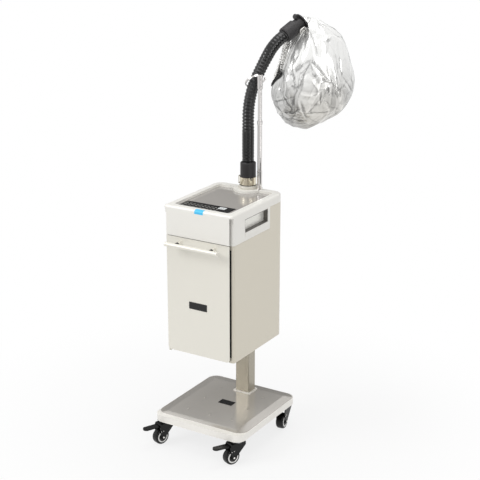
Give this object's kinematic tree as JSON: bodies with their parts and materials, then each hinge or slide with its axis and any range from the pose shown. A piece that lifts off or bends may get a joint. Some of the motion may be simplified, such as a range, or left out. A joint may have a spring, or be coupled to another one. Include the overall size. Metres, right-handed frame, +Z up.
{
  "type": "hair steamer",
  "caption": "Salon hair steamer: boiler cabinet with door and bar handle on a column and castered base, steam hose, telescopic pole and soft silver hood.",
  "frame": {"origin": "on the floor, under the centre of the base", "axes": "+Z up, front of the cabinet with its door towards -Y, +X to the right as seen from the front"},
  "size_m": [0.3958, 0.7103, 1.3103],
  "materials": {
    "base_paint": "satin",
    "plate_paint": "matte",
    "steel": "satin",
    "zinc": "satin",
    "badge_black": "gloss",
    "column_paint": "satin",
    "cream_trim": "matte",
    "caster_black": "matte",
    "hub_grey": "matte",
    "tyre": "matte",
    "shell_paint": "satin",
    "white_plastic": "gloss",
    "dark_plastic": "matte",
    "liner_grey": "matte",
    "pale_plastic": "gloss",
    "tray_grey": "gloss",
    "strip_black": "gloss",
    "window": "gloss",
    "door_paint": "satin",
    "seal_rubber": "matte",
    "nickel": "polished",
    "chrome": "polished",
    "hose_black": "matte",
    "cuff_black": "matte",
    "hood_cloth": "metallised, crinkled",
    "elastic": "matte",
    "tank_plastic": "translucent",
    "cap_blue": "matte",
    "cast_alloy": "matte",
    "duct_grey": "matte",
    "board_green": "matte",
    "rocker_red": "gloss"
  },
  "bodies": {
    "cabinet": {"base_tray": "base_paint", "base_plate": "plate_paint", "base_screws": "steel", "base_badge": "badge_black", "column": "column_paint", "column_foot": "cream_trim", "column_bracket": "zinc", "caster_mounts": "zinc", "cabinet_floor": "shell_paint", "side_shell": "shell_paint", "back_panel": "shell_paint", "back_screws": "steel", "upper_shell": "white_plastic", "fascia_backing": "dark_plastic", "top_tray": "tray_grey", "control_strip": "strip_black", "display_window": "window", "pocket_liners": "liner_grey", "pocket_plates": "pale_plastic", "door_seals": "seal_rubber", "hinge_brackets": "zinc", "outlet_flange": "white_plastic", "outlet_collar": "nickel", "lower_cuff": "cuff_black", "hose": "hose_black", "pole_lower": "chrome", "water_tank": "tank_plastic", "tank_cap": "cap_blue", "boiler": "cast_alloy", "steam_duct": "duct_grey", "control_board": "board_green", "fan_frame": "caster_black", "power_inlet": "dark_plastic"},
    "door": {"door_skin": "door_paint", "door_liner": "dark_plastic", "door_hinge_blocks": "zinc", "bar_handle": "door_paint", "door_badge": "badge_black"},
    "mast": {"pole_upper": "chrome", "hose_clip": "chrome", "upper_cuff": "cuff_black"},
    "hood": {"hood_neck": "cuff_black", "hood_bag": "hood_cloth", "hood_trim": "elastic"},
    "fan": {"fan_rotor": "caster_black"},
    "power_rocker": {"rocker": "rocker_red"},
    "swivel_front_left": {"fork_front_left": "caster_black"},
    "wheel_front_left": {"hub_front_left": "hub_grey", "tyre_front_left": "tyre"},
    "swivel_front_right": {"fork_front_right": "caster_black"},
    "wheel_front_right": {"hub_front_right": "hub_grey", "tyre_front_right": "tyre"},
    "swivel_rear_left": {"fork_rear_left": "caster_black"},
    "wheel_rear_left": {"hub_rear_left": "hub_grey", "tyre_rear_left": "tyre"},
    "swivel_rear_right": {"fork_rear_right": "caster_black"},
    "wheel_rear_right": {"hub_rear_right": "hub_grey", "tyre_rear_right": "tyre"},
    "brake_front_left": {"pedal_front_left": "caster_black"},
    "brake_front_right": {"pedal_front_right": "caster_black"}
  },
  "joints": [
    {"name": "door_hinge", "type": "hinge", "parent": "cabinet", "child": "door", "pos_m": [-0.1075, -0.1504, 0.51], "axis": [0, 0, -1], "range_deg": [0, 105]},
    {"name": "mast_slide", "type": "slide", "parent": "cabinet", "child": "mast", "axis": [0, 0, 1], "range_m": [-0.08, 0.08], "deforming": ["hose"]},
    {"name": "hood_swivel", "type": "hinge", "parent": "mast", "child": "hood", "pos_m": [0.06564, 0.27476, 1.26236], "axis": [0.366, 0.7849, 0.5], "range_deg": [-90, 90]},
    {"name": "fan_spin", "type": "hinge", "parent": "cabinet", "child": "fan", "pos_m": [0, 0.14, 0.4455], "axis": [0, 1, 0], "continuous": true},
    {"name": "power_switch", "type": "hinge", "parent": "cabinet", "child": "power_rocker", "pos_m": [-0.046, 0.15, 0.363], "axis": [1, 0, 0], "range_deg": [-8, 8]},
    {"name": "caster_swivel_front_left", "type": "hinge", "parent": "cabinet", "child": "swivel_front_left", "pos_m": [-0.132, -0.147, 0.07], "axis": [0, 0, 1], "continuous": true},
    {"name": "wheel_spin_front_left", "type": "hinge", "parent": "swivel_front_left", "child": "wheel_front_left", "pos_m": [-0.1388, -0.16792, 0.0255], "axis": [0.9511, -0.309, 0], "continuous": true},
    {"name": "brake_pedal_front_left", "type": "hinge", "parent": "swivel_front_left", "child": "brake_front_left", "pos_m": [-0.14127, -0.17553, 0.0622], "axis": [0.9511, -0.309, 0], "range_deg": [0, 12]},
    {"name": "caster_swivel_front_right", "type": "hinge", "parent": "cabinet", "child": "swivel_front_right", "pos_m": [0.132, -0.147, 0.07], "axis": [0, 0, 1], "continuous": true},
    {"name": "wheel_spin_front_right", "type": "hinge", "parent": "swivel_front_right", "child": "wheel_front_right", "pos_m": [0.12305, -0.1671, 0.0255], "axis": [0.9135, -0.4067, 0], "continuous": true},
    {"name": "brake_pedal_front_right", "type": "hinge", "parent": "swivel_front_right", "child": "brake_front_right", "pos_m": [0.1198, -0.17441, 0.0622], "axis": [0.9135, -0.4067, 0], "range_deg": [0, 12]},
    {"name": "caster_swivel_rear_left", "type": "hinge", "parent": "cabinet", "child": "swivel_rear_left", "pos_m": [-0.132, 0.147, 0.07], "axis": [0, 0, 1], "continuous": true},
    {"name": "wheel_spin_rear_left", "type": "hinge", "parent": "swivel_rear_left", "child": "wheel_rear_left", "pos_m": [-0.14614, 0.13015, 0.0255], "axis": [0.766, -0.6428, 0], "continuous": true},
    {"name": "caster_swivel_rear_right", "type": "hinge", "parent": "cabinet", "child": "swivel_rear_right", "pos_m": [0.132, 0.147, 0.07], "axis": [0, 0, 1], "continuous": true},
    {"name": "wheel_spin_rear_right", "type": "hinge", "parent": "swivel_rear_right", "child": "wheel_rear_right", "pos_m": [0.13506, 0.12521, 0.0255], "axis": [0.9903, 0.1392, 0], "continuous": true}
  ]
}
